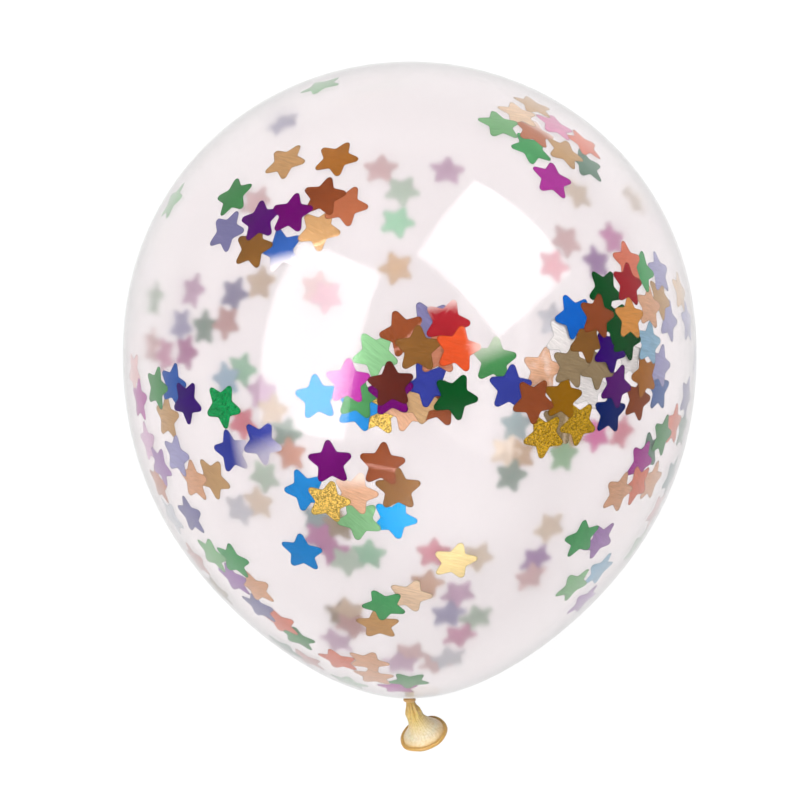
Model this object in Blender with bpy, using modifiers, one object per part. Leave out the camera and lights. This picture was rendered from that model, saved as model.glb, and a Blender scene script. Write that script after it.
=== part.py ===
"""Tied latex party balloon lying on its side, in metres, +Z up.

The bulb is turned about Y, with its crown towards +Y and its tied neck towards -Y.
The neck bends over and flares into the open mouth with its rolled lip.
The origin is under the middle of the balloon, on the flat spot that it rests on.
"""

import math

import bmesh
import bpy
from mathutils import Vector
from mathutils.geometry import interpolate_bezier

# Bulb, measured from its widest section
BULB_RADIUS = 0.140
CROWN_LENGTH = 0.143
CROWN_FULLNESS = 2.1
SHOULDER_LENGTH = 0.168
SHOULDER_TAPER = 0.21
TAPER_POWER = 3
FLAT_DEPTH = 0.0018

# Tied neck, measured from the end of the bulb
NECK_RADIUS = 0.0022
NECK_ROOT = 0.003
KNOT_DISTANCE = 0.0013
KNOT_RADIUS = 0.0020
KNOT_ROLL_RADIUS = 0.0011
WAIST_DISTANCE = 0.0036
SWELL_DISTANCE = 0.0082
SWELL_RADIUS = 0.0037

# Open mouth with its rolled lip
LIP_RADIUS = 0.0113
LIP_ROLL_RADIUS = 0.0010
SKIN_THICKNESS = 0.0004
FLARE_POWER = 2.0
MOUTH_DISTANCE = 0.0194
MOUTH_SHIFT = 0.0073
MOUTH_DROP = 0.0080
MOUTH_TURN = math.radians(20)
MOUTH_DIP = math.radians(29)
BEND_LENGTH = 0.008
CUTTER_OVERSHOOT = 0.003

# Fineness of the faceted surfaces
WELD_DISTANCE = 0.00001
BULB_SIDES = 72
CROWN_RINGS = 16
SHOULDER_RINGS = 22
NECK_POINTS = 17
NECK_BEVEL_STEPS = 14
LIP_SIDES = 48
LIP_ROLL_SIDES = 10
KNOT_SIDES = 24

# What follows from the sizes above
MOUTH_AXIS = Vector((
    math.sin(MOUTH_TURN) * math.cos(MOUTH_DIP),
    -math.cos(MOUTH_TURN) * math.cos(MOUTH_DIP),
    -math.sin(MOUTH_DIP),
))
LIP_REACH = LIP_RADIUS * math.sqrt(1 - MOUTH_AXIS.y**2) + LIP_ROLL_RADIUS
TAIL_LENGTH = MOUTH_DISTANCE + LIP_REACH
WIDEST_Y = (SHOULDER_LENGTH + TAIL_LENGTH - CROWN_LENGTH) / 2
BULB_END_Y = WIDEST_Y - SHOULDER_LENGTH
AXIS_HEIGHT = BULB_RADIUS - FLAT_DEPTH
MOUTH_CENTRE = Vector((
    MOUTH_SHIFT,
    BULB_END_Y - MOUTH_DISTANCE,
    AXIS_HEIGHT - MOUTH_DROP,
))


def clear_scene():
    for obj in list(bpy.data.objects):
        bpy.data.objects.remove(obj)


def new_collection(name):
    collection = bpy.data.collections.new(name)
    bpy.context.scene.collection.children.link(collection)
    return collection


def principled(name, colour, roughness, transmission):
    material = bpy.data.materials.new(name)
    material.use_nodes = True
    shader = material.node_tree.nodes["Principled BSDF"]
    shader.inputs["Base Color"].default_value = (*colour, 1)
    shader.inputs["Roughness"].default_value = roughness
    shader.inputs["Metallic"].default_value = 0
    shader.inputs["Transmission Weight"].default_value = transmission
    return material


def place_in(collection, obj):
    """Moves an object from whatever collection holds it into this one."""
    for holder in list(obj.users_collection):
        holder.objects.unlink(obj)
    collection.objects.link(obj)


def make_helper(obj, collection, material):
    obj.data.materials.clear()
    obj.data.materials.append(material)
    obj.hide_render = True
    obj.display_type = "WIRE"
    place_in(collection, obj)


def bulb_profile():
    """(radius, distance along the axis from the widest section), from the crown to the neck."""
    points = []
    for ring in range(CROWN_RINGS):
        share = math.sin(math.pi / 2 * (1 - ring / CROWN_RINGS))
        radius = BULB_RADIUS * math.sqrt(1 - share**CROWN_FULLNESS)
        points.append((radius, CROWN_LENGTH * share))
    for ring in range(SHOULDER_RINGS + 1):
        angle = math.pi / 2 * ring / SHOULDER_RINGS
        share = math.sin(angle)
        slimming = 1 - SHOULDER_TAPER * share**TAPER_POWER
        radius = BULB_RADIUS * math.cos(angle) * slimming
        points.append((radius, -SHOULDER_LENGTH * share))
    return points


def make_bulb(collection, material):
    outline = [(radius, along, 0) for radius, along in bulb_profile()]
    edges = [(i, i + 1) for i in range(len(outline) - 1)]
    mesh = bpy.data.meshes.new("balloon")
    mesh.from_pydata(outline, edges, [])
    mesh.materials.append(material)
    bulb = bpy.data.objects.new("balloon", mesh)
    collection.objects.link(bulb)
    bulb.location = (0, WIDEST_Y, AXIS_HEIGHT)
    turn = bulb.modifiers.new("turn", "SCREW")
    turn.axis = "Y"
    turn.steps = BULB_SIDES
    turn.render_steps = BULB_SIDES
    turn.use_merge_vertices = True
    turn.merge_threshold = WELD_DISTANCE
    turn.use_normal_flip = True
    turn.use_smooth_shade = True
    return bulb


def neck_path():
    """Points along the middle of the neck, from inside the bulb to the middle of the lip."""
    root = Vector((0, BULB_END_Y + NECK_ROOT, AXIS_HEIGHT))
    return interpolate_bezier(
        root,
        root - Vector((0, NECK_ROOT + BEND_LENGTH, 0)),
        MOUTH_CENTRE - BEND_LENGTH * MOUTH_AXIS,
        MOUTH_CENTRE,
        NECK_POINTS,
    )


def smooth_step(share):
    share = min(max(share, 0), 1)
    return share * share * (3 - 2 * share)


def neck_radius(along, whole):
    """Radius of the neck at a distance from the end of the bulb, where whole is the lip's distance."""
    swell = smooth_step((along - WAIST_DISTANCE) / (SWELL_DISTANCE - WAIST_DISTANCE))
    flare = max(0, (along - SWELL_DISTANCE) / (whole - SWELL_DISTANCE)) ** FLARE_POWER
    return (
        NECK_RADIUS
        + (SWELL_RADIUS - NECK_RADIUS) * swell
        + (LIP_RADIUS - SWELL_RADIUS) * flare
    )


def neck_stations():
    """(point, distance from the end of the bulb, radius) at each point of the neck's path."""
    points = neck_path()
    distances = [-NECK_ROOT]
    for start, end in zip(points, points[1:]):
        distances.append(distances[-1] + (end - start).length)
    whole = distances[-1]
    return [(p, d, neck_radius(d, whole)) for p, d in zip(points, distances)]


def tube_mesh(name, stations):
    """A closed tube through (point, radius) stations, made as a bevelled curve and turned into a mesh."""
    curve = bpy.data.curves.new(name, "CURVE")
    curve.dimensions = "3D"
    curve.bevel_depth = LIP_RADIUS
    curve.bevel_resolution = NECK_BEVEL_STEPS
    curve.use_fill_caps = True
    spline = curve.splines.new("POLY")
    spline.points.add(len(stations) - 1)
    for target, (point, radius) in zip(spline.points, stations):
        target.co = (*point, 1)
        target.radius = radius / LIP_RADIUS
    guide = bpy.data.objects.new(name + "_guide", curve)
    bpy.context.scene.collection.objects.link(guide)
    graph = bpy.context.evaluated_depsgraph_get()
    mesh = bpy.data.meshes.new_from_object(guide.evaluated_get(graph))
    bpy.data.objects.remove(guide)
    welder = bmesh.new()
    welder.from_mesh(mesh)
    bmesh.ops.remove_doubles(welder, verts=welder.verts, dist=WELD_DISTANCE)
    bmesh.ops.recalc_face_normals(welder, faces=welder.faces)
    welder.to_mesh(mesh)
    welder.free()
    mesh.shade_smooth()
    tube = bpy.data.objects.new(name, mesh)
    bpy.context.scene.collection.objects.link(tube)
    return tube


def make_neck():
    return tube_mesh("neck", [(point, radius) for point, _, radius in neck_stations()])


def make_mouth_cutter():
    """The hollow of the open mouth, from the swelling out past the lip."""
    inner = [
        (point, radius - SKIN_THICKNESS)
        for point, distance, radius in neck_stations()
        if distance >= SWELL_DISTANCE
    ]
    beyond = MOUTH_CENTRE + CUTTER_OVERSHOOT * MOUTH_AXIS
    inner.append((beyond, LIP_RADIUS - SKIN_THICKNESS))
    return tube_mesh("mouth_cutter", inner)


def make_ring(name, centre, axis, radius, roll_radius, sides, roll_sides):
    bpy.ops.mesh.primitive_torus_add(
        major_radius=radius,
        minor_radius=roll_radius,
        major_segments=sides,
        minor_segments=roll_sides,
        location=centre,
        rotation=axis.to_track_quat("Z", "Y").to_euler(),
    )
    ring = bpy.context.object
    ring.name = name
    ring.data.shade_smooth()
    return ring


def make_lip():
    return make_ring(
        "lip", MOUTH_CENTRE, MOUTH_AXIS, LIP_RADIUS, LIP_ROLL_RADIUS, LIP_SIDES, LIP_ROLL_SIDES
    )


def make_knot():
    centre = Vector((0, BULB_END_Y - KNOT_DISTANCE, AXIS_HEIGHT))
    along = Vector((0, -1, 0))
    return make_ring(
        "knot", centre, along, KNOT_RADIUS, KNOT_ROLL_RADIUS, KNOT_SIDES, LIP_ROLL_SIDES
    )


def make_flat_cutter():
    """A block under the balloon, whose top face leaves the flat spot at Z = 0."""
    side = BULB_RADIUS
    bpy.ops.mesh.primitive_cube_add(size=side, location=(0, WIDEST_Y, -side / 2))
    block = bpy.context.object
    block.name = "flat_cutter"
    return block


def combine(target, other, operation):
    modifier = target.modifiers.new(other.name, "BOOLEAN")
    modifier.operation = operation
    modifier.solver = "EXACT"
    modifier.object = other
    modifier.material_mode = "TRANSFER"


def main():
    clear_scene()
    parts = new_collection("confetti_balloon")
    helpers = new_collection("cutters_and_joined_shapes")
    clear_latex = principled("clear_latex", (0.94, 0.88, 0.89), 0.08, 1.0)
    amber_latex = principled("amber_latex", (0.72, 0.50, 0.20), 0.35, 0.3)
    balloon = make_bulb(parts, clear_latex)
    steps = (
        (make_neck(), "UNION", amber_latex),
        (make_mouth_cutter(), "DIFFERENCE", amber_latex),
        (make_lip(), "UNION", amber_latex),
        (make_knot(), "UNION", amber_latex),
        (make_flat_cutter(), "DIFFERENCE", clear_latex),
    )
    for shape, operation, material in steps:
        make_helper(shape, helpers, material)
        combine(balloon, shape, operation)


main()
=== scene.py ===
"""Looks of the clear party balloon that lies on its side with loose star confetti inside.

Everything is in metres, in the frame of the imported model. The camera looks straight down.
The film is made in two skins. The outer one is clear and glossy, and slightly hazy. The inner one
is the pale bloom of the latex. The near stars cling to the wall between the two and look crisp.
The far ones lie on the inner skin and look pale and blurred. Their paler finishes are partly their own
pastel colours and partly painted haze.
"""

import math

import bmesh
import bpy
from mathutils import Matrix, Vector, noise
from mathutils.bvhtree import BVHTree
from mathutils.geometry import interpolate_bezier


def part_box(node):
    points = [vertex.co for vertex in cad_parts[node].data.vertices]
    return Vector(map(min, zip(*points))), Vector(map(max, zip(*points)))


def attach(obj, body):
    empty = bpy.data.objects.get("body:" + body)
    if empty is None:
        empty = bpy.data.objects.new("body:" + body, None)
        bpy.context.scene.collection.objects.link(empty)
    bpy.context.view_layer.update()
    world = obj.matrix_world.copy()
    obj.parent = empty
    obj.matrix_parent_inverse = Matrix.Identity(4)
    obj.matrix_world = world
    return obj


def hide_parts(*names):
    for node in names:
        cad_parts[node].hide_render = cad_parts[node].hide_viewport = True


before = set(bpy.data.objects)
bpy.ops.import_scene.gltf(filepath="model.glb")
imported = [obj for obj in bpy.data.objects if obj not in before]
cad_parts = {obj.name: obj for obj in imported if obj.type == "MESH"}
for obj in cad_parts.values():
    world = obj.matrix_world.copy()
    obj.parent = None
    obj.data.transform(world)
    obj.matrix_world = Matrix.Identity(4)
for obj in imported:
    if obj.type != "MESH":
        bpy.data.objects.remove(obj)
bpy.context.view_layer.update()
BALLOON_HIGH = Vector(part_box("balloon")[1])

# Bulb, as in the part's source
CROWN_LENGTH = 0.143
CROWN_FULLNESS = 2.1
SHOULDER_LENGTH = 0.168
SHOULDER_TAPER = 0.21
TAPER_POWER = 3
BULB_RADIUS = BALLOON_HIGH.x
AXIS_HEIGHT = BALLOON_HIGH.z - BULB_RADIUS
WIDEST_Y = BALLOON_HIGH.y - CROWN_LENGTH
BULB_END_Y = WIDEST_Y - SHOULDER_LENGTH

# Tied neck and open mouth, as in the part's source
NECK_RADIUS = 0.0022
NECK_ROOT = 0.003
KNOT_DISTANCE = 0.0013
KNOT_RADIUS = 0.0020
KNOT_ROLL_RADIUS = 0.0011
WAIST_DISTANCE = 0.0036
SWELL_DISTANCE = 0.0082
SWELL_RADIUS = 0.0037
LIP_RADIUS = 0.0113
LIP_ROLL_RADIUS = 0.0010
SKIN_THICKNESS = 0.0004
FLARE_POWER = 2.0
MOUTH_TURN = math.radians(20)
MOUTH_DIP = math.radians(29)
BEND_LENGTH = 0.008
MOUTH_CENTRE = Vector((0.0073, BULB_END_Y - 0.0194, AXIS_HEIGHT - 0.0080))
MOUTH_AXIS = Vector((
    math.sin(MOUTH_TURN) * math.cos(MOUTH_DIP),
    -math.cos(MOUTH_TURN) * math.cos(MOUTH_DIP),
    -math.sin(MOUTH_DIP),
))

# Film
FILM_THICKNESS = 0.00012
FILM_SIDES = 192
CROWN_RINGS = 56
SHOULDER_RINGS = 80
BLOOM_DEPTH = 0.0021
BLOOM_SIDES = 96
BLOOM_RINGS_SHARE = 0.5
WELD_DISTANCE = 0.00001

# Fineness of the neck, lip and knot
PATH_POINTS = 129
OUTER_STATIONS = 90
ROLL_STATIONS = 27
INNER_STATIONS = 40
TAIL_SIDES = 144
ROLL_START = math.radians(215)
ROLL_END = math.radians(-110)
LIP_GAP = 0.0008
SLOPE_STEP = 0.0001
KNOT_SIDES = 72
KNOT_ROLL_SIDES = 24

# Twisted creases, pleats and waves of the neck and lip, by their distance from the end of the bulb
CREASES = 9
CREASE_TWIST = 420
CREASE_HEIGHT = 0.0008
CREASE_START = 0.002
CREASE_RISE = 0.003
CREASE_END = 0.0125
CREASE_FALL = 0.004
PLEATS = 27
PLEAT_HEIGHT = 0.00012
PLEAT_START = 0.007
PLEAT_RISE = 0.003
PLEAT_FALL = 0.004
PLEAT_WANDER = 3
WANDER_FINENESS = 2
WANDER_STRETCH = 150
LIP_WOBBLE = 0.05
WOBBLE_FINENESS = 1.6

# Studio
WALL_TONE = (0.32, 0.315, 0.32)
CEILING_TONE = (0.06, 0.06, 0.065)
CEILING_START = 0.2
MOST_BOUNCES = 8
DIFFUSE_BOUNCES = 2
GLOSSY_BOUNCES = 3
SOFTBOX_DISTANCE = 0.9
FILL_WAY = Vector((0.25, -0.72, 0.65))
FILL_DISTANCE = 1.3
FILL_SIZE = 2.0
FILL_RADIANCE = 5.2
FLOOR_SIZE = 8
FLOOR_GAP = 0.0005
FLOOR_GREY = 0.2
FLOOR_GLOW = 0.76
FLOOR_EDGE_GLOW = 0.22
GLOW_RADII = (0.3, 0.95)

# A star's outline and mesh
STAR_CORNERS = 10
STAR_RADIUS = 0.0103
TIP_CORNER_RADIUS = 0.0126
VALLEY_RADIUS = 0.0060
TIP_FILLET = 0.0016
VALLEY_FILLET = 0.0010
TIP_STEPS = 5
VALLEY_STEPS = 3
STAR_THICKNESS = 0.00006
STAR_RINGS = (1.0, 0.74, 0.48, 0.22)
SHARP_ANGLE = math.radians(40)

# How the stars lie on each other and on the film
FIRST_LAYER_DEPTH = 0.0002
LAYER_DEPTH = 0.00016
OVERLAP_DISTANCE = 1.7 * STAR_RADIUS
MOST_LAYERS = 10
FAR_GAP = 0.0003

# Waves and bends of a star, and its painted highlights
RIPPLE_HEIGHT = 0.00005
RIPPLE_FINENESS = 130
RIPPLE_SPREAD = 999
BEND_HEIGHT = 0.0001
# How fast a bent star's painted highlight grows towards its edge
BEND_HIGHLIGHT_GAIN = 1.5
NO_FOLD = 9

# Looks of foil and glitter
FOIL_BODY_SHARE = 0.78
BRUSH_SCALE = (2, 18, 1)
BRUSH_TURN = math.radians(55)
BRUSH_DETAIL = 4
BRUSH_ROUGHNESS = 0.65
BRUSH_RANGE = (0.3, 0.7)
# Tones along the brush streaks, partly grain and partly painted sheen
BRUSH_GRAIN_AND_SHEEN_TONES = (0.82, 1.2)
SHEEN_RANGE = (0.28, 0.42)
GRAIN_SPREAD = 99
FLAKES_PER_METRE = 1900
FLAKE_TONES = (0.4, 1.9)
# Painted shade along a star's cut edge
EDGE_START = 0.93
EDGE_SHADE = 0.5
# Pale painted highlight where a star is bent or crumpled
PAINTED_HIGHLIGHT_PALENESS = 0.85
PAINTED_HIGHLIGHT_COLOUR = (1, 0.95, 0.88)
# Painted highlight along a fold line, a lighter copy of the star's own colour
FOLD_WIDTH = 0.12
FOLD_WANDER = 0.35
FOLD_HIGHLIGHT_GAIN = 1.5
FOLD_HIGHLIGHT_LIFT = 0.14
BUMP_DISTANCE = 0.0002
FOIL_BUMP = 0.2
FLAKE_BUMP = 0.35
LATEX_BUMP = 0.4

# Softboxes: name, the pixel of the photograph where the film mirrors it, size, roll in degrees, radiance
SOFTBOXES = (
    ("left_softbox", (312, 338), (0.66, 1.06), -14, 6.4),
    ("right_softbox", (492, 250), (0.74, 0.78), 35, 6.4),
)

# Plain values of the materials, by the shader's sockets
FILM_LOOK = {
    "Base Color": (0.998, 0.968, 0.973, 1),
    "Roughness": 0.09,
    "IOR": 1.3,
    "Transmission Weight": 1,
}
BLOOM_LOOK = {
    "Base Color": (0.85, 0.8, 0.81, 1),
    "Roughness": 0.9,
    "Specular IOR Level": 0.1,
    "Alpha": 0.17,
}
FOIL_LOOK = {"Metallic": 0.25, "Specular IOR Level": 0.05}
GLITTER_LOOK = {"Metallic": 0.3, "Roughness": 0.4, "Specular IOR Level": 0.15}
LATEX_LOOK = {
    "Roughness": 0.35,
    "Subsurface Weight": 0.4,
    "Subsurface Scale": 0.002,
    "Subsurface Radius": (1, 0.6, 0.25),
}
KNOT_LOOK = {"Roughness": 0.3}
GLOW_LOOK = {"Roughness": 1, "Specular IOR Level": 0, "Emission Color": (1, 1, 1, 1)}

# Colours of the amber latex, from 0 to 255, by their share of the way down the neck and back up inside. The
# bright stop on the inner side of the rolled lip is painted light shining through the roll.
LATEX_STOPS = (
    (0.0, (186, 148, 86)),
    (0.15, (192, 158, 88)),
    (0.24, (202, 172, 102)),
    (0.32, (206, 178, 116)),
    (0.42, (206, 190, 152)),
    (0.5, (200, 192, 172)),
    (0.555, (206, 184, 148)),
    (0.58, (186, 148, 84)),
    (0.68, (190, 150, 82)),
    (0.73, (232, 192, 130)),
    (0.78, (210, 190, 150)),
    (1.0, (190, 168, 128)),
)
# A darker tone, mixed in where the wrinkle bump is low
LATEX_HOLLOW_TONE = (150, 118, 48)
HOLLOW_TONE_RANGE = (0.35, 0.65)
HOLLOW_TONE_SHARES = (0.3, 0)
WRINKLE_FINENESS = 900
WRINKLE_DETAIL = 3
KNOT_STOPS = ((0, (158, 112, 60)), (1, (212, 172, 108)))
KNOT_FINENESS = 500
KNOT_DETAIL = 2

# Photograph and camera
PHOTO_MIDDLE = 400
PIXEL_SIZE = 0.0004922
CAMERA_DISTANCE = 1.05
CAMERA_X = -0.0047
CAMERA_Y = 0.0041
SENSOR_WIDTH = 36
NEAREST_SEEN = 0.01

# Places of the colour sockets of a mix node, which has others with the same names
MIX_INPUTS = (6, 7)
MIX_OUTPUT = 2


def linear(red, green, blue):
    """Linear colour of a display colour given from 0 to 255."""
    shares = (red / 255, green / 255, blue / 255)
    return tuple(s / 12.92 if s <= 0.04045 else ((s + 0.055) / 1.055) ** 2.4 for s in shares)


def make_camera():
    data = bpy.data.cameras.new("camera")
    data.sensor_width = SENSOR_WIDTH
    data.lens = SENSOR_WIDTH * CAMERA_DISTANCE / (2 * PHOTO_MIDDLE * PIXEL_SIZE)
    data.clip_start = NEAREST_SEEN
    camera = bpy.data.objects.new("camera", data)
    camera.location = (CAMERA_X, CAMERA_Y, AXIS_HEIGHT + CAMERA_DISTANCE)
    bpy.context.scene.collection.objects.link(camera)
    bpy.context.scene.camera = camera
    return camera


def new_material(name, look):
    """A material whose shader has these plain values, with its shader, nodes and links."""
    material = bpy.data.materials.new(name)
    material.use_nodes = True
    nodes, links = material.node_tree.nodes, material.node_tree.links
    shader = nodes["Principled BSDF"]
    for socket, value in look.items():
        shader.inputs[socket].default_value = value
    return material, shader, nodes, links


def film_material():
    """Clear latex: plain values, so that it stays see-through wherever it goes."""
    material, *_ = new_material("clear_latex", FILM_LOOK)
    return material


def bloom_material():
    """The milky bloom of the latex, mostly see-through."""
    material, *_ = new_material("latex_bloom", BLOOM_LOOK)
    return material


def remapped(nodes, links, value, old, new, interpolation="LINEAR"):
    """A socket that takes the value from one range to another and keeps it within the new one."""
    remap = nodes.new("ShaderNodeMapRange")
    remap.interpolation_type = interpolation
    remap.inputs["From Min"].default_value = old[0]
    remap.inputs["From Max"].default_value = old[1]
    remap.inputs["To Min"].default_value = new[0]
    remap.inputs["To Max"].default_value = new[1]
    links.new(value, remap.inputs["Value"])
    return remap.outputs["Result"]


def noise_texture(nodes, links, vector, scale, detail, roughness=0.5):
    clouds = nodes.new("ShaderNodeTexNoise")
    clouds.inputs["Scale"].default_value = scale
    clouds.inputs["Detail"].default_value = detail
    clouds.inputs["Roughness"].default_value = roughness
    links.new(vector, clouds.inputs["Vector"])
    return clouds.outputs["Fac"]


def colour_ramp(nodes, links, value, stops):
    """A socket with the colour that the value has on a ramp of positions and linear colours."""
    tone = nodes.new("ShaderNodeValToRGB")
    elements = tone.color_ramp.elements
    for element, (position, colour) in zip(elements, (stops[0], stops[-1])):
        element.position = position
        element.color = (*colour, 1)
    for position, colour in stops[1:-1]:
        elements.new(position).color = (*colour, 1)
    links.new(value, tone.inputs["Fac"])
    return tone.outputs["Color"]


def add_bump(nodes, links, shader, height, strength):
    bump = nodes.new("ShaderNodeBump")
    bump.inputs["Strength"].default_value = strength
    bump.inputs["Distance"].default_value = BUMP_DISTANCE
    links.new(height, bump.inputs["Height"])
    links.new(bump.outputs["Normal"], shader.inputs["Normal"])


def mixed(nodes, links, share, first, second):
    """A socket that goes from the first colour to the second as share goes from 0 to 1."""
    mix = nodes.new("ShaderNodeMix")
    mix.data_type = "RGBA"
    links.new(share, mix.inputs["Factor"])
    for place, colour in zip(MIX_INPUTS, (first, second)):
        if isinstance(colour, bpy.types.NodeSocket):
            links.new(colour, mix.inputs[place])
        else:
            mix.inputs[place].default_value = (*colour, 1)
    return mix.outputs[MIX_OUTPUT]


def star_attribute(nodes, name):
    attribute = nodes.new("ShaderNodeAttribute")
    attribute.attribute_name = name
    return attribute


def edge_shade_and_highlights(nodes, links, body, base, clouds):
    """The body colour with painted shade along the cut edge, a painted highlight along the fold line, and a
    pale painted highlight where the foil is bent or crumpled.
    """
    edge_shade_share = remapped(nodes, links, star_attribute(nodes, "rim").outputs["Fac"], (EDGE_START, 1), (0, 1))
    edge_shaded = mixed(nodes, links, edge_shade_share, body, base * EDGE_SHADE)
    wander = nodes.new("ShaderNodeMath")
    wander.operation = "MULTIPLY_ADD"
    wander.inputs[1].default_value = FOLD_WANDER
    links.new(clouds, wander.inputs[0])
    links.new(star_attribute(nodes, "fold").outputs["Fac"], wander.inputs[2])
    beside = nodes.new("ShaderNodeMath")
    beside.operation = "ABSOLUTE"
    links.new(wander.outputs["Value"], beside.inputs[0])
    fold = remapped(nodes, links, beside.outputs["Value"], (0, FOLD_WIDTH), (1, 0))
    # Painted highlight along the fold line.
    fold_highlight_colour = base * FOLD_HIGHLIGHT_GAIN + Vector((FOLD_HIGHLIGHT_LIFT, FOLD_HIGHLIGHT_LIFT, FOLD_HIGHLIGHT_LIFT))
    fold_highlighted = mixed(nodes, links, fold, edge_shaded, fold_highlight_colour)
    # Pale painted highlight where the star is bent or crumpled.
    highlight_colour = base * (1 - PAINTED_HIGHLIGHT_PALENESS) + Vector(PAINTED_HIGHLIGHT_COLOUR) * PAINTED_HIGHLIGHT_PALENESS
    return mixed(nodes, links, star_attribute(nodes, "painted_highlight").outputs["Fac"], fold_highlighted, highlight_colour)


def foil_material(name, colour):
    """Metallised film, brushed along one way of each star and finely rippled. Its tone streaks along the
    brushing are partly grain and partly painted sheen.
    """
    material, shader, nodes, links = new_material(name, FOIL_LOOK)
    base = Vector(linear(*colour)) * FOIL_BODY_SHARE
    stretch = nodes.new("ShaderNodeMapping")
    stretch.inputs["Rotation"].default_value = (0, 0, BRUSH_TURN)
    stretch.inputs["Scale"].default_value = BRUSH_SCALE
    links.new(star_attribute(nodes, "place").outputs["Vector"], stretch.inputs["Vector"])
    brush = noise_texture(nodes, links, stretch.outputs["Vector"], 1, BRUSH_DETAIL, BRUSH_ROUGHNESS)
    tone = remapped(nodes, links, brush, BRUSH_RANGE, (0, 1))
    body = mixed(nodes, links, tone, base * BRUSH_GRAIN_AND_SHEEN_TONES[0], base * BRUSH_GRAIN_AND_SHEEN_TONES[1])
    links.new(edge_shade_and_highlights(nodes, links, body, base, brush), shader.inputs["Base Color"])
    links.new(remapped(nodes, links, brush, (0, 1), SHEEN_RANGE), shader.inputs["Roughness"])
    add_bump(nodes, links, shader, brush, FOIL_BUMP)
    return material


def glitter_material(name, colour):
    """Foil pressed with fine flakes, each flake with its own tone and tilt."""
    material, shader, nodes, links = new_material(name, GLITTER_LOOK)
    place = nodes.new("ShaderNodeTexCoord")
    flakes = nodes.new("ShaderNodeTexVoronoi")
    flakes.inputs["Scale"].default_value = FLAKES_PER_METRE
    links.new(place.outputs["Object"], flakes.inputs["Vector"])
    split = nodes.new("ShaderNodeSeparateColor")
    links.new(flakes.outputs["Color"], split.inputs["Color"])
    base = Vector(linear(*colour)) * FOIL_BODY_SHARE
    body = mixed(nodes, links, split.outputs["Red"], base * FLAKE_TONES[0], base * FLAKE_TONES[1])
    shown = edge_shade_and_highlights(nodes, links, body, base, split.outputs["Blue"])
    links.new(shown, shader.inputs["Base Color"])
    add_bump(nodes, links, shader, split.outputs["Green"], FLAKE_BUMP)
    return material


def display_stops(stops):
    """Ramp stops with their display colours made linear."""
    return [(position, linear(*colour)) for position, colour in stops]


def latex_material():
    """Amber latex of the unstretched neck, paler where it is stretched thin towards the lip."""
    material, shader, nodes, links = new_material("amber_latex", LATEX_LOOK)
    place = nodes.new("ShaderNodeTexCoord")
    split = nodes.new("ShaderNodeSeparateXYZ")
    links.new(place.outputs["UV"], split.inputs["Vector"])
    # The ramp holds painted light on the inner side of the rolled lip.
    tone = colour_ramp(nodes, links, split.outputs["Y"], display_stops(LATEX_STOPS))
    wrinkles = noise_texture(nodes, links, place.outputs["Object"], WRINKLE_FINENESS, WRINKLE_DETAIL)
    # Darker where the wrinkle bump is low.
    depth = remapped(nodes, links, wrinkles, HOLLOW_TONE_RANGE, HOLLOW_TONE_SHARES)
    darker_in_hollows = mixed(nodes, links, depth, tone, linear(*LATEX_HOLLOW_TONE))
    links.new(darker_in_hollows, shader.inputs["Base Color"])
    add_bump(nodes, links, shader, wrinkles, LATEX_BUMP)
    return material


def knot_material():
    material, shader, nodes, links = new_material("knot_latex", KNOT_LOOK)
    place = nodes.new("ShaderNodeTexCoord")
    clouds = noise_texture(nodes, links, place.outputs["Object"], KNOT_FINENESS, KNOT_DETAIL)
    tone = colour_ramp(nodes, links, clouds, display_stops(KNOT_STOPS))
    links.new(tone, shader.inputs["Base Color"])
    return material


def link_piece(name, mesh, material):
    mesh.materials.append(material)
    piece = bpy.data.objects.new(name, mesh)
    bpy.context.scene.collection.objects.link(piece)
    return piece


def applied_mesh(obj):
    """The object's mesh with its modifiers applied. The object itself is removed."""
    graph = bpy.context.evaluated_depsgraph_get()
    mesh = bpy.data.meshes.new_from_object(obj.evaluated_get(graph))
    mesh.transform(obj.matrix_world)
    bpy.data.objects.remove(obj)
    return mesh


def bulb_profile(crown_rings, shoulder_rings):
    """(radius, distance along the axis from the widest section), from the crown to the neck."""
    points = []
    for ring in range(crown_rings):
        share = math.sin(math.pi / 2 * (1 - ring / crown_rings))
        radius = BULB_RADIUS * math.sqrt(1 - share**CROWN_FULLNESS)
        points.append((radius, CROWN_LENGTH * share))
    for ring in range(shoulder_rings + 1):
        angle = math.pi / 2 * ring / shoulder_rings
        share = math.sin(angle)
        slimming = 1 - SHOULDER_TAPER * share**TAPER_POWER
        points.append((BULB_RADIUS * math.cos(angle) * slimming, -SHOULDER_LENGTH * share))
    return points


def bulb_skin(name, rings_share, sides, depth):
    """The bulb's surface, this far inside the CAD outline and flat where it rests."""
    outline = bulb_profile(round(CROWN_RINGS * rings_share), round(SHOULDER_RINGS * rings_share))
    mesh = bpy.data.meshes.new(name)
    edges = [(i, i + 1) for i in range(len(outline) - 1)]
    mesh.from_pydata([(radius, along, 0) for radius, along in outline], edges, [])
    bulb = bpy.data.objects.new(name, mesh)
    bpy.context.scene.collection.objects.link(bulb)
    bulb.location = (0, WIDEST_Y, AXIS_HEIGHT)
    turn = bulb.modifiers.new("turn", "SCREW")
    turn.axis = "Y"
    turn.steps = sides
    turn.render_steps = sides
    turn.use_merge_vertices = True
    turn.merge_threshold = WELD_DISTANCE
    turn.use_normal_flip = True
    turn.use_smooth_shade = True
    bpy.context.view_layer.update()
    skin = applied_mesh(bulb)
    builder = bmesh.new()
    builder.from_mesh(skin)
    bmesh.ops.recalc_face_normals(builder, faces=builder.faces)
    builder.to_mesh(skin)
    builder.free()
    normals = [vertex.normal.copy() for vertex in skin.vertices]
    for vertex, normal in zip(skin.vertices, normals):
        vertex.co -= normal * depth
        vertex.co.z = max(vertex.co.z, depth)
    skin.name = name
    return skin


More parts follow.
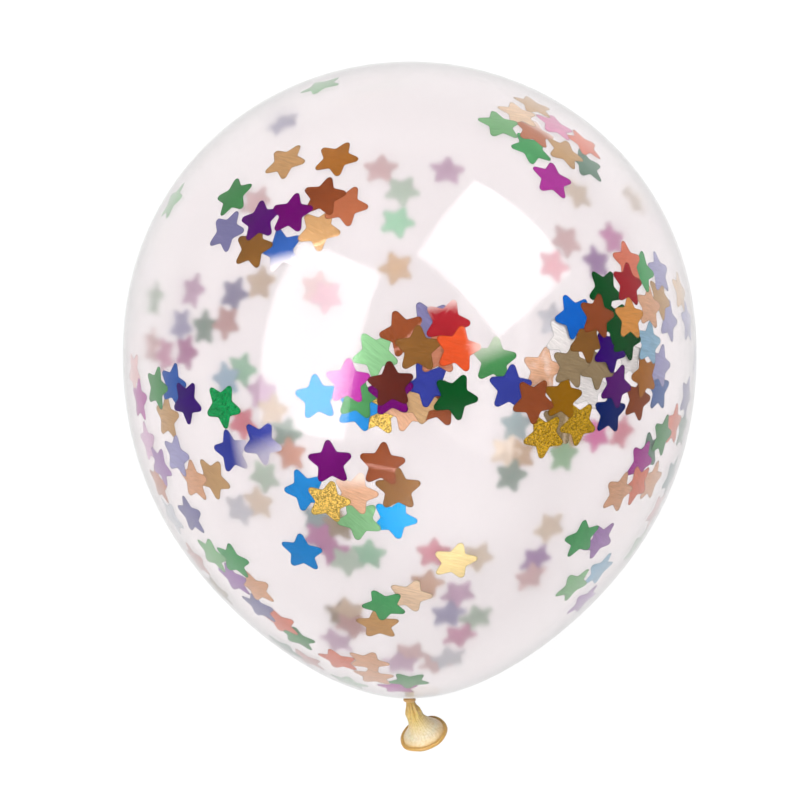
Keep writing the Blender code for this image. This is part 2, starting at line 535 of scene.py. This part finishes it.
def make_film():
    """The clear outer skin, a closed double wall as thin as the blown-up latex."""
    skin = bulb_skin("balloon_film", 1, FILM_SIDES, 0)
    film = link_piece("balloon_film", skin, film_material())
    walls = film.modifiers.new("walls", "SOLIDIFY")
    walls.thickness = FILM_THICKNESS
    walls.offset = -1
    return film


def make_bloom():
    """The inner skin, which stands for the milky bloom of the latex."""
    skin = bulb_skin("balloon_bloom", BLOOM_RINGS_SHARE, BLOOM_SIDES, BLOOM_DEPTH)
    return link_piece("balloon_bloom", skin, bloom_material())


def rounded_corner(before, corner, after, radius, steps):
    """Points of the arc that rounds a corner between its two neighbours."""
    back = (before - corner).normalized()
    on = (after - corner).normalized()
    half = back.angle(on) / 2
    centre = corner + (back + on).normalized() * radius / math.sin(half)
    reach = radius / math.tan(half)
    start = corner + back * reach - centre
    end = corner + on * reach - centre
    first = math.atan2(start.y, start.x)
    sweep = math.remainder(math.atan2(end.y, end.x) - first, 2 * math.pi)
    angles = [first + sweep * step / (steps - 1) for step in range(steps)]
    return [centre + radius * Vector((math.cos(a), math.sin(a))) for a in angles]


def star_outline():
    """The flat star's outline, starting at the tip that points up."""
    corners = []
    for corner in range(STAR_CORNERS):
        angle = math.pi / 2 + 2 * math.pi * corner / STAR_CORNERS
        reach = TIP_CORNER_RADIUS if corner % 2 == 0 else VALLEY_RADIUS
        corners.append(Vector((reach * math.cos(angle), reach * math.sin(angle))))
    outline = []
    for place, corner in enumerate(corners):
        tip = place % 2 == 0
        outline += rounded_corner(
            corners[place - 1],
            corner,
            corners[(place + 1) % STAR_CORNERS],
            TIP_FILLET if tip else VALLEY_FILLET,
            TIP_STEPS if tip else VALLEY_STEPS,
        )
    return outline


STAR_OUTLINE = star_outline()


def star_grid():
    """Flat points of the star, ring by ring inwards with its middle last, and the faces of one side."""
    points = [point * share for share in STAR_RINGS for point in STAR_OUTLINE]
    points.append(Vector((0, 0)))
    sides = len(STAR_OUTLINE)
    faces = []
    for ring in range(len(STAR_RINGS) - 1):
        for side in range(sides):
            following = (side + 1) % sides
            outer, inner = ring * sides, (ring + 1) * sides
            faces.append((outer + side, outer + following, inner + following, inner + side))
    last = (len(STAR_RINGS) - 1) * sides
    for side in range(sides):
        faces.append((last + side, last + (side + 1) % sides, len(points) - 1))
    return points, faces


STAR_POINTS, STAR_FACES = star_grid()
STAR_SHARES = [share for share in STAR_RINGS for _ in STAR_OUTLINE] + [0]


# How a star is bent, and where a highlight is painted on it. Each shape gives, for a point of the flat
# star, its lift off the film, the share of painted highlight in its colour there from 0 to 1, and its
# distance from a painted fold line in star radii.
# The directions are in degrees, anticlockwise from the right as the camera sees them.
def flat(point):
    return 0, 0, NO_FOLD


def bent(toward, start, most=1):
    """One side turns away from the film, beyond this share of the star's reach, and gets a painted
    highlight that grows towards its edge, up to most.
    """
    way = Vector((math.cos(math.radians(toward)), math.sin(math.radians(toward))))

    def shape(point):
        share = max(0, (point.dot(way) / STAR_RADIUS - start) / (1 - start))
        return BEND_HEIGHT * share, most * min(1, BEND_HIGHLIGHT_GAIN * share), NO_FOLD

    return shape


def painted_fold_line(across, offset):
    """A straight line across the flat star, along which a highlight is painted as if a fold caught the
    light.
    """
    way = Vector((math.cos(math.radians(across)), math.sin(math.radians(across))))

    def shape(point):
        return 0, 0, point.dot(way) / STAR_RADIUS - offset

    return shape


# Crumples of the foil, with a painted highlight on their raised parts.
def crumpled(height, fineness):
    def shape(point):
        rise = noise.noise(Vector((point.x, point.y, 0)) * fineness)
        return height * (0.5 + rise), max(0, rise), NO_FOLD

    return shape


# Foil colours as they show, from 0 to 255
FOILS = {
    "light_gold": (222, 176, 120),
    "gold": (190, 124, 56),
    "bronze": (150, 104, 52),
    "copper": (158, 84, 48),
    "light_copper": (204, 122, 84),
    "brown": (105, 46, 36),
    "ochre": (166, 116, 22),
    "amber": (235, 165, 85),
    "tan": (215, 178, 130),
    "taupe": (165, 145, 110),
    "pale_gold": (255, 232, 165),
    "beige": (250, 222, 188),
    "peach": (242, 192, 155),
    "salmon": (240, 140, 112),
    "orange_red": (240, 95, 48),
    "red": (180, 40, 50),
    "pink": (240, 165, 200),
    "magenta": (187, 60, 167),
    "purple": (119, 12, 119),
    "violet": (96, 27, 123),
    "deep_violet": (62, 12, 128),
    "lilac": (180, 140, 200),
    "lavender": (180, 180, 220),
    "slate": (136, 135, 180),
    "indigo": (60, 72, 168),
    "navy": (10, 40, 115),
    "blue": (56, 104, 188),
    "bright_blue": (20, 110, 215),
    "azure": (46, 152, 230),
    "cyan": (10, 176, 250),
    "pale_blue": (165, 208, 232),
    "green": (80, 156, 92),
    "light_green": (146, 206, 148),
    "leaf_green": (96, 184, 118),
    "dark_green": (8, 88, 36),
    "steel_blue": (95, 125, 185),
    "silver": (255, 254, 250),
    "mint": (150, 222, 175),
    "sage": (115, 152, 132),
    "pale_green": (196, 226, 200),
    "teal_grey": (142, 172, 172),
    "rose": (250, 145, 165),
    "blush": (250, 208, 206),
    "orchid": (240, 145, 210),
    "fuchsia": (245, 90, 178),
    "mauve": (204, 120, 178),
    "amethyst": (160, 105, 182),
    "pale_lilac": (230, 188, 222),
    "mist": (228, 234, 242),
    "cream": (255, 236, 206),
    "sand": (234, 208, 172),
    "coral": (238, 95, 118),
    "terracotta": (209, 140, 108),
    "dusty_pink": (216, 165, 158),
}
GLITTERS = {
    "glitter_gold": (225, 190, 95),
    "glitter_ochre": (190, 152, 36),
    "glitter_green": (18, 150, 80),
    "glitter_pink": (240, 185, 200),
}

# Stars on the near wall: finish, column and row in the photograph, turn from upright in degrees
NEAR_STARS = (
    # Upper left
    ("light_gold", 285, 161, 22),
    ("gold", 336, 158, 22),
    ("green", 233, 196, 56),
    ("purple", 291, 213, 4),
    ("violet", 259, 220, 62),
    ("copper", 323, 196, 8),
    ("light_copper", 345, 205, 22),
    ("light_gold", 318, 229, 28, painted_fold_line(112, -0.45)),
    ("bronze", 252, 247, 12),
    ("blue", 280, 249, 55, bent(-80, 0.1)),
    ("slate", 226, 231, 19),
    ("light_green", 321, 85, 20),
    ("light_green", 172, 201, 10),
    # Upper right
    ("light_green", 500, 124, 2),
    ("beige", 519, 113, 10),
    ("terracotta", 535, 131, 30, bent(45, 0.1, 0.8)),
    ("tan", 534, 105, 20),
    ("pink", 556, 125, 30),
    ("leaf_green", 532, 147, 56),
    ("salmon", 585, 143, 8),
    ("tan", 566, 151, 40),
    ("sage", 588, 163, 15),
    ("magenta", 553, 179, 20),
    # Centre
    ("dark_green", 455, 397, 24),
    ("brown", 391, 385, 67),
    ("purple", 391, 394, 67),
    ("orange_red", 458, 349, 12, bent(10, 0.4, 0.6)),
    ("red", 447, 322, 20, bent(100, 0.45, 0.6)),
    ("bronze", 418, 349, 1),
    ("copper", 403, 333, 50, painted_fold_line(135, -0.1)),
    ("terracotta", 438, 352, 0),
    ("slate", 430, 323, 42),
    ("light_green", 375, 354, 39),
    ("magenta", 347, 382, 3, bent(170, -0.3, 0.25)),
    ("indigo", 429, 384, 44),
    ("azure", 316, 398, 67),
    ("green", 357, 397, 10),
    ("azure", 358, 409, 20),
    ("tan", 420, 401, 30),
    ("copper", 440, 404, 12),
    ("peach", 407, 409, 50),
    ("glitter_gold", 378, 413, 8),
    # Right
    ("red", 629, 284, 10),
    ("salmon", 629, 262, 0),
    ("leaf_green", 643, 270, 25),
    ("lavender", 661, 272, 0),
    ("copper", 598, 316, 12),
    ("amber", 631, 318, 2),
    ("dark_green", 606, 290, 34),
    ("dark_green", 616, 322, 40),
    ("dark_green", 628, 338, 20),
    ("bright_blue", 575, 316, 45),
    ("peach", 651, 307, 10),
    ("tan", 662, 298, 30),
    ("lavender", 671, 320, 20),
    ("lavender", 688, 322, 0),
    ("beige", 681, 292, 12),
    ("deep_violet", 612, 350, 28),
    ("bronze", 589, 340, 30),
    ("pale_blue", 651, 343, 10),
    ("taupe", 573, 366, 12),
    ("taupe", 600, 367, 36),
    ("violet", 619, 386, 24),
    ("gold", 647, 376, 50),
    ("lavender", 663, 366, 15),
    ("navy", 613, 413, 2),
    ("copper", 641, 400, 15),
    ("steel_blue", 662, 390, 0),
    ("copper", 534, 401, 32),
    ("indigo", 511, 388, 4),
    ("ochre", 565, 398, 5),
    ("glitter_ochre", 545, 436, 38),
    ("glitter_ochre", 581, 424, 36),
    ("taupe", 563, 424, 10, painted_fold_line(180, -0.1)),
    ("peach", 545, 370, 10, crumpled(0.0005, 240)),
    ("silver", 567, 338, 30),
    ("silver", 592, 388, 12),
    ("silver", 633, 357, 0),
    ("green", 495, 360, 5, bent(110, -0.1, 0.5)),
    # Left
    ("green", 156, 388, 20),
    ("deep_violet", 186, 402, 37),
    ("blue", 172, 385, 18),
    ("glitter_green", 222, 406, 32),
    ("tan", 166, 418, 10),
    ("indigo", 231, 452, 64, bent(0, 0.0, 0.6)),
    ("indigo", 261, 443, 33, bent(-70, -0.3, 0.55)),
    ("lavender", 176, 456, 20),
    ("lilac", 160, 466, 40),
    ("peach", 193, 481, 10),
    ("tan", 212, 479, 40),
    ("slate", 190, 516, 5),
    ("light_green", 212, 555, 30),
    ("leaf_green", 233, 561, 20),
    ("lilac", 233, 580, 12),
    ("peach", 255, 589, 0),
    ("slate", 258, 609, 20),
    ("salmon", 279, 624, 8),
    ("green", 296, 640, 30),
    # Lower left of the middle
    ("purple", 330, 463, 70),
    ("copper", 382, 465, 6, painted_fold_line(80, 0.05)),
    ("bronze", 398, 490, 0),
    ("glitter_gold", 328, 502, 18),
    ("azure", 305, 491, 54),
    ("peach", 355, 494, 20, bent(90, 0.2, 0.7)),
    ("light_green", 359, 521, 46),
    ("cyan", 394, 520, 25),
    ("azure", 302, 553, 9),
    # Bottom
    ("leaf_green", 384, 606, 47),
    ("light_gold", 378, 626, 0),
    ("pale_gold", 455, 562, 10),
    ("beige", 410, 597, 20),
    ("salmon", 338, 661, 5),
    ("peach", 368, 663, 30),
    ("peach", 374, 678, 10),
    ("green", 409, 683, 40),
    ("magenta", 398, 690, 0),
    # Lower right
    ("leaf_green", 582, 539, 55),
    ("lilac", 600, 541, 30),
    ("light_green", 574, 586, 20),
    ("pale_blue", 600, 571, 0),
    ("peach", 619, 493, 10),
    ("salmon", 638, 485, 40),
    ("peach", 653, 482, 0),
    ("magenta", 642, 462, 20),
    ("green", 663, 436, 12),
    ("sage", 650, 453, 50),
    ("salmon", 675, 425, 0),
    ("slate", 687, 397, 20),
    # Along the rim, where they show as slivers
    ("magenta", 139, 400, 10),
    ("blush", 133, 372, 40),
    ("pale_lilac", 147, 443, 0),
    ("terracotta", 158, 484, 20),
    ("mist", 171, 517, 50),
    ("dusty_pink", 196, 560, 10),
    ("taupe", 218, 590, 30),
    ("sage", 284, 648, 0),
    ("dusty_pink", 306, 660, 20),
    ("pale_green", 349, 683, 40),
    ("lilac", 584, 601, 0),
    ("pale_green", 636, 547, 10),
    ("blush", 656, 511, 30),
    ("teal_grey", 671, 476, 20),
    ("sage", 684, 428, 0),
    ("lavender", 696, 362, 30),
)

# Stars on the far wall, seen through the balloon. Their pale finishes are partly their own pastel colours
# and partly painted haze, the light that the film scatters over them.
FAR_STARS = (
    ("lavender", 281, 119, 10),
    ("blush", 380, 166, 0),
    ("pale_green", 402, 188, 30),
    ("mint", 397, 220, 23),
    ("tan", 396, 267, 51),
    ("blush", 315, 287, 10),
    ("glitter_pink", 325, 296, 40),
    ("sand", 258, 282, 0),
    ("pale_lilac", 189, 290, 10),
    ("slate", 231, 293, 20),
    ("pale_green", 150, 298, 0),
    ("lavender", 177, 325, 30),
    ("sage", 201, 327, 0),
    ("dusty_pink", 223, 322, 40),
    ("blush", 147, 345, 10),
    ("pink", 160, 355, 50),
    ("mauve", 182, 352, 20),
    ("blush", 253, 199, 10),
    ("mint", 239, 370, 20),
    ("pale_blue", 223, 380, 60),
    ("pale_lilac", 259, 393, 0),
    ("sand", 270, 412, 10),
    ("coral", 240, 424, 40),
    ("sage", 284, 435, 20),
    ("terracotta", 288, 456, 0),
    ("pale_green", 262, 478, 50),
    ("cream", 256, 505, 10),
    ("mist", 236, 512, 30),
    ("teal_grey", 316, 520, 20),
    ("taupe", 338, 528, 10),
    ("mauve", 318, 540, 40),
    ("mauve", 333, 556, 0),
    ("mint", 368, 557, 10),
    ("pale_green", 345, 565, 40),
    ("pale_lilac", 448, 168, 10),
    ("cream", 580, 191, 0),
    ("cream", 638, 197, 20),
    ("blush", 569, 239, 50),
    ("orchid", 616, 237, 10),
    ("amethyst", 600, 261, 0),
    ("rose", 556, 264, 30),
    ("mist", 555, 320, 10),
    ("teal_grey", 518, 426, 0),
    ("cream", 508, 453, 20, crumpled(0.0006, 260)),
    ("tan", 522, 457, 50),
    ("sage", 513, 478, 10),
    ("light_gold", 570, 440, 20),
    ("light_green", 566, 457, 0),
    ("fuchsia", 600, 436, 40),
    ("rose", 625, 433, 10),
    ("cream", 552, 530, 30),
    ("lilac", 538, 562, 10),
    ("blush", 533, 580, 50),
    ("rose", 434, 556, 0),
    ("cream", 478, 560, 20),
    ("peach", 427, 587, 10),
    ("pale_lilac", 459, 597, 30),
    ("lavender", 449, 618, 0),
    ("pale_green", 478, 622, 40),
    ("pink", 461, 640, 10),
    ("taupe", 340, 618, 20),
    ("sand", 348, 615, 0),
    ("dusty_pink", 350, 630, 50),
    ("pale_lilac", 335, 645, 10),
    ("blush", 410, 658, 30),
    ("pale_lilac", 400, 668, 0),
    ("blush", 437, 668, 20),
    ("mist", 450, 663, 40),
)


def pixel_ray(camera, column, row):
    """From the camera through a pixel of the photograph."""
    start = camera.location
    across = (column - PHOTO_MIDDLE) * PIXEL_SIZE
    up = (PHOTO_MIDDLE - row) * PIXEL_SIZE
    return start, Vector((across, up, -CAMERA_DISTANCE)).normalized()


def wall_point(wall, camera, column, row, far):
    """Where a pixel's ray meets the near or the far side of the film."""
    start, way = pixel_ray(camera, column, row)
    hit, _, _, _ = wall.ray_cast(start, way)
    if hit is None:
        raise ValueError(f"no film behind pixel {column}, {row}")
    if far:
        hit, _, _, _ = wall.ray_cast(hit + way * STAR_RADIUS, way)
    return hit


def star_layers(places):
    """How many stars each star lies under, where those listed first lie next to the film."""
    layers = []
    for index, place in enumerate(places):
        over = [
            layers[other]
            for other in range(index)
            if (places[other] - place).length < OVERLAP_DISTANCE
        ]
        layers.append(min(max(over) + 1, MOST_LAYERS) if over else 0)
    return layers


def ripple(point, place):
    """The slight waviness that every foil star has, different for each."""
    spot = Vector((point.x, point.y, 0)) * RIPPLE_FINENESS + place * RIPPLE_SPREAD
    return 0.5 + 0.5 * noise.noise(spot)


def star_side(builder, wall, place, turn, depth, shape):
    """Points of one side of a star, laid this deep inside the film at this place."""
    _, normal, _, _ = wall.find_nearest(place)
    upright = (Vector((0, 1, 0)) - normal * normal.y).normalized()
    right = upright.cross(normal) * (1 if normal.z > 0 else -1)
    spin = Matrix.Rotation(-math.radians(turn), 2)
    star_place = builder.verts.layers.float_vector["place"]
    rim = builder.verts.layers.float["rim"]
    painted_highlight = builder.verts.layers.float["painted_highlight"]
    fold = builder.verts.layers.float["fold"]
    side = []
    for point, share in zip(STAR_POINTS, STAR_SHARES):
        turned = spin @ point
        on_wall, inward, _, _ = wall.find_nearest(place + right * turned.x + upright * turned.y)
        # The shape also gives the share of painted highlight, which the material reads.
        lift, highlight_share, beside_fold = shape(turned)
        lift += RIPPLE_HEIGHT * ripple(turned, place)
        corner = builder.verts.new(on_wall - inward * (depth + lift))
        corner[star_place] = point.to_3d() / STAR_RADIUS + place * GRAIN_SPREAD
        corner[rim] = share
        corner[painted_highlight] = highlight_share
        corner[fold] = beside_fold
        side.append(corner)
    return side


def add_star(builder, wall, place, turn, depth, shape):
    """Adds one star to a mesh. Its top is the side that the camera sees."""
    outer = star_side(builder, wall, place, turn, depth, shape)
    inner = star_side(builder, wall, place, turn, depth + STAR_THICKNESS, shape)
    _, normal, _, _ = wall.find_nearest(place)
    top, bottom = (outer, inner) if normal.z > 0 else (inner, outer)
    for face in STAR_FACES:
        builder.faces.new([top[i] for i in face])
        builder.faces.new([bottom[i] for i in reversed(face)])
    corners = len(STAR_OUTLINE)
    for i in range(corners):
        following = (i + 1) % corners
        builder.faces.new((top[following], top[i], bottom[i], bottom[following]))


def new_star_builder():
    builder = bmesh.new()
    builder.verts.layers.float_vector.new("place")
    # Float layers: the share of the way to the edge, the share of painted highlight, and the distance from
    # a painted fold line.
    for name in ("rim", "painted_highlight", "fold"):
        builder.verts.layers.float.new(name)
    return builder


def make_confetti(camera, wall):
    """One piece for each finish, with all of its stars."""
    finishes = sorted({star[0] for star in NEAR_STARS + FAR_STARS})
    builders = {finish: new_star_builder() for finish in finishes}
    near_depth = FILM_THICKNESS + FIRST_LAYER_DEPTH
    far_depth = BLOOM_DEPTH + FAR_GAP
    for stars, depth in ((NEAR_STARS, near_depth), (FAR_STARS, far_depth)):
        far = stars is FAR_STARS
        places = [wall_point(wall, camera, star[1], star[2], far) for star in stars]
        layers = star_layers(places)
        for star, place, layer in zip(stars, places, layers):
            finish, _, _, turn = star[:4]
            shape = star[4] if len(star) > 4 else flat
            layer_depth = depth + layer * LAYER_DEPTH
            add_star(builders[finish], wall, place, turn, layer_depth, shape)
    pieces = []
    for finish, builder in builders.items():
        name = "stars_" + finish
        mesh = bpy.data.meshes.new(name)
        bmesh.ops.recalc_face_normals(builder, faces=builder.faces)
        builder.to_mesh(mesh)
        builder.free()
        mesh.shade_smooth()
        mesh.set_sharp_from_angle(angle=SHARP_ANGLE)
        if finish in FOILS:
            piece = link_piece(name, mesh, foil_material(name, FOILS[finish]))
        else:
            piece = link_piece(name, mesh, glitter_material(name, GLITTERS[finish]))
        pieces.append(piece)
    return pieces


def smooth_step(share):
    share = min(max(share, 0), 1)
    return share * share * (3 - 2 * share)


class NeckPath:
    """The curved middle line of the neck, measured from the end of the bulb."""

    def __init__(self):
        root = Vector((0, BULB_END_Y + NECK_ROOT, AXIS_HEIGHT))
        self.points = interpolate_bezier(
            root,
            root - Vector((0, NECK_ROOT + BEND_LENGTH, 0)),
            MOUTH_CENTRE - BEND_LENGTH * MOUTH_AXIS,
            MOUTH_CENTRE,
            PATH_POINTS,
        )
        self.distances = [-NECK_ROOT]
        for start, end in zip(self.points, self.points[1:]):
            self.distances.append(self.distances[-1] + (end - start).length)
        self.whole = self.distances[-1]

    def at(self, distance):
        """(point, tangent) at a distance. Past the lip the line runs straight on."""
        if distance >= self.whole:
            return MOUTH_CENTRE + MOUTH_AXIS * (distance - self.whole), MOUTH_AXIS
        index = 1
        while self.distances[index] < distance:
            index += 1
        start, end = self.points[index - 1], self.points[index]
        share = (distance - self.distances[index - 1]) / (
            self.distances[index] - self.distances[index - 1]
        )
        return start.lerp(end, share), (end - start).normalized()

    def radius(self, distance):
        swell = smooth_step((distance - WAIST_DISTANCE) / (SWELL_DISTANCE - WAIST_DISTANCE))
        flare = max(0, (distance - SWELL_DISTANCE) / (self.whole - SWELL_DISTANCE))
        return (
            NECK_RADIUS
            + (SWELL_RADIUS - NECK_RADIUS) * swell
            + (LIP_RADIUS - SWELL_RADIUS) * flare**FLARE_POWER
        )


def tail_profile(path):
    """(distance, radius) down the outside of the neck, round the rolled lip and back up inside."""
    profile = []
    for i in range(OUTER_STATIONS):
        share = i / (OUTER_STATIONS - 1)
        distance = -NECK_ROOT + (path.whole - LIP_GAP + NECK_ROOT) * share
        profile.append((distance, path.radius(distance)))
    for i in range(ROLL_STATIONS):
        angle = ROLL_START + (ROLL_END - ROLL_START) * i / (ROLL_STATIONS - 1)
        profile.append((
            path.whole + LIP_ROLL_RADIUS * math.cos(angle),
            LIP_RADIUS + LIP_ROLL_RADIUS * math.sin(angle),
        ))
    for i in range(INNER_STATIONS):
        share = i / (INNER_STATIONS - 1)
        distance = path.whole - LIP_GAP - (path.whole - LIP_GAP - SWELL_DISTANCE) * share
        profile.append((distance, path.radius(distance) - SKIN_THICKNESS))
    return profile


def tail_relief(distance, around, whole):
    """How far the latex stands proud of its plain outline: twisted creases, then fine pleats."""
    creases = smooth_step((distance - CREASE_START) / CREASE_RISE)
    creases *= smooth_step((CREASE_END - distance) / CREASE_FALL)
    twist = around * CREASES + distance * CREASE_TWIST
    rise = CREASE_HEIGHT * creases * (abs(math.sin(twist / 2)) - 0.5)
    pleats = smooth_step((distance - PLEAT_START) / PLEAT_RISE)
    pleats *= smooth_step((whole - distance) / PLEAT_FALL)
    spot = Vector((math.cos(around), math.sin(around), distance * WANDER_STRETCH)) * WANDER_FINENESS
    rise += PLEAT_HEIGHT * pleats * math.sin(around * PLEATS + noise.noise(spot) * PLEAT_WANDER)
    return rise


def tail_ring(builder, path, distance, radius, on_roll):
    """Points around the neck at this distance, raised square to its slope, or plainly on the lip's roll."""
    centre, along = path.at(distance)
    side = along.cross(Vector((0, 0, 1))).normalized()
    up = side.cross(along)
    slope = (path.radius(distance + SLOPE_STEP) - path.radius(distance)) / SLOPE_STEP
    if on_roll:
        slope = 0
    ring = []
    for i in range(TAIL_SIDES):
        around = 2 * math.pi * i / TAIL_SIDES
        out = side * math.cos(around) + up * math.sin(around)
        rise = tail_relief(min(distance, path.whole), around, path.whole)
        lean = (out - along * slope).normalized()
        wobble = LIP_WOBBLE * noise.noise(out * WOBBLE_FINENESS)
        grown = radius * (1 + wobble * smooth_step(distance / path.whole))
        ring.append(builder.verts.new(centre + out * grown + lean * rise))
    return ring


def join_rings(builder, rings, layer):
    """Faces between neighbouring rings, with their share around and along the neck as UV."""
    for station in range(len(rings) - 1):
        for i in range(TAIL_SIDES):
            following = (i + 1) % TAIL_SIDES
            corners = (
                (rings[station][i], i, station),
                (rings[station][following], i + 1, station),
                (rings[station + 1][following], i + 1, station + 1),
                (rings[station + 1][i], i, station + 1),
            )
            face = builder.faces.new([corner[0] for corner in corners])
            for loop, (_, across, down) in zip(face.loops, corners):
                loop[layer].uv = (across / TAIL_SIDES, down / (len(rings) - 1))


def close_ends(builder, first, last, rings, layer):
    """Faces from the first and the last point of the middle line to the rings next to them."""
    start = builder.verts.new(first)
    end = builder.verts.new(last)
    for i in range(TAIL_SIDES):
        following = (i + 1) % TAIL_SIDES
        builder.faces.new((start, rings[0][following], rings[0][i]))
        face = builder.faces.new((end, rings[-1][i], rings[-1][following]))
        for loop in face.loops:
            loop[layer].uv = (i / TAIL_SIDES, 1)


def make_tail():
    """Amber neck, creased where it is twisted, and flared out to its rolled lip."""
    path = NeckPath()
    profile = tail_profile(path)
    builder = bmesh.new()
    layer = builder.loops.layers.uv.new("tail")
    rings = []
    for station, (distance, radius) in enumerate(profile):
        on_roll = 0 <= station - OUTER_STATIONS < ROLL_STATIONS
        rings.append(tail_ring(builder, path, distance, radius, on_roll))
    join_rings(builder, rings, layer)
    close_ends(builder, path.at(profile[0][0])[0], path.at(profile[-1][0])[0], rings, layer)
    bmesh.ops.recalc_face_normals(builder, faces=builder.faces)
    mesh = bpy.data.meshes.new("neck_and_lip")
    builder.to_mesh(mesh)
    builder.free()
    mesh.shade_smooth()
    return link_piece("neck_and_lip", mesh, latex_material())


def make_knot():
    """The tight roll of latex where the neck is tied off."""
    bpy.ops.mesh.primitive_torus_add(
        major_radius=KNOT_RADIUS,
        minor_radius=KNOT_ROLL_RADIUS,
        major_segments=KNOT_SIDES,
        minor_segments=KNOT_ROLL_SIDES,
        location=(0, BULB_END_Y - KNOT_DISTANCE, AXIS_HEIGHT),
        rotation=(math.pi / 2, 0, 0),
    )
    knot = bpy.context.object
    knot.name = "knot"
    knot.data.shade_smooth()
    knot.data.materials.append(knot_material())
    return knot


def set_view_and_bounces():
    scene = bpy.context.scene
    scene.view_settings.view_transform = "Standard"
    scene.cycles.max_bounces = MOST_BOUNCES
    scene.cycles.diffuse_bounces = DIFFUSE_BOUNCES
    scene.cycles.glossy_bounces = GLOSSY_BOUNCES


def make_world():
    """Plain studio walls, dimmer overhead than near the horizon."""
    world = bpy.data.worlds.new("studio")
    world.use_nodes = True
    nodes, links = world.node_tree.nodes, world.node_tree.links
    place = nodes.new("ShaderNodeTexCoord")
    split = nodes.new("ShaderNodeSeparateXYZ")
    links.new(place.outputs["Generated"], split.inputs["Vector"])
    stops = ((0, WALL_TONE), (CEILING_START, CEILING_TONE))
    tone = colour_ramp(nodes, links, split.outputs["Z"], stops)
    links.new(tone, nodes["Background"].inputs["Color"])
    bpy.context.scene.world = world


def area_lamp(name, place, back, size, roll, radiance):
    """A rectangular lamp that shines against the direction back."""
    side = Vector((0, 1, 0)).cross(back).normalized()
    facing = Matrix((side, back.cross(side), back)).transposed()
    data = bpy.data.lights.new(name, "AREA")
    data.shape = "RECTANGLE"
    data.size, data.size_y = size
    data.energy = radiance * math.pi * size[0] * size[1]
    lamp = bpy.data.objects.new(name, data)
    lamp.matrix_world = (
        Matrix.Translation(place) @ facing.to_4x4() @ Matrix.Rotation(math.radians(roll), 4, "Z")
    )
    lamp.visible_camera = False
    bpy.context.scene.collection.objects.link(lamp)
    return lamp


def make_softbox(camera, wall, name, pixel, size, roll, radiance):
    """A softbox that the near side of the film mirrors at this pixel of the photograph."""
    start, way = pixel_ray(camera, *pixel)
    hit, normal, _, _ = wall.ray_cast(start, way)
    back = way.reflect(normal)
    return area_lamp(name, hit + back * SOFTBOX_DISTANCE, back, size, roll, radiance)


def glowing_material(name, grey, radii, strengths):
    """A matt grey that also glows, with the first strength inside the first radius from its middle."""
    material, shader, nodes, links = new_material(name, GLOW_LOOK)
    shader.inputs["Base Color"].default_value = (grey, grey, grey, 1)
    place = nodes.new("ShaderNodeTexCoord")
    reach = nodes.new("ShaderNodeVectorMath")
    reach.operation = "LENGTH"
    links.new(place.outputs["Object"], reach.inputs[0])
    glow = remapped(nodes, links, reach.outputs["Value"], radii, strengths, "SMOOTHSTEP")
    links.new(glow, shader.inputs["Emission Strength"])
    return material


def make_fill():
    """A broad glowing card beyond the foot of the picture, which hardly shows in the film."""
    back = FILL_WAY.normalized()
    bpy.ops.mesh.primitive_plane_add(
        size=FILL_SIZE,
        location=Vector((0, 0, AXIS_HEIGHT)) + back * FILL_DISTANCE,
        rotation=back.to_track_quat("Z", "Y").to_euler(),
    )
    card = bpy.context.object
    card.name = "fill_card"
    material = glowing_material("fill_glow", 0, (0, FILL_SIZE / 2), (FILL_RADIANCE, 0))
    material.cycles.emission_sampling = "NONE"
    card.data.materials.append(material)
    card.visible_camera = False
    card.visible_glossy = False
    card.visible_shadow = False
    return card


def make_floor():
    bpy.ops.mesh.primitive_plane_add(size=FLOOR_SIZE, location=(0, 0, -FLOOR_GAP))
    floor = bpy.context.object
    floor.name = "floor"
    material = glowing_material(
        "pale_floor", FLOOR_GREY, GLOW_RADII, (FLOOR_GLOW, FLOOR_EDGE_GLOW)
    )
    floor.data.materials.append(material)
    return floor


def main():
    camera = make_camera()
    film = make_film()
    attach(film, "root")
    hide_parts("balloon")
    bloom = make_bloom()
    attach(bloom, "root")
    finder = bmesh.new()
    finder.from_mesh(film.data)
    wall = BVHTree.FromBMesh(finder)
    finder.free()
    for piece in make_confetti(camera, wall):
        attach(piece, "root")
    for piece in (make_tail(), make_knot()):
        piece.visible_glossy = False
        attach(piece, "root")
    set_view_and_bounces()
    make_world()
    for softbox in SOFTBOXES:
        make_softbox(camera, wall, *softbox)
    make_fill()
    make_floor()


main()
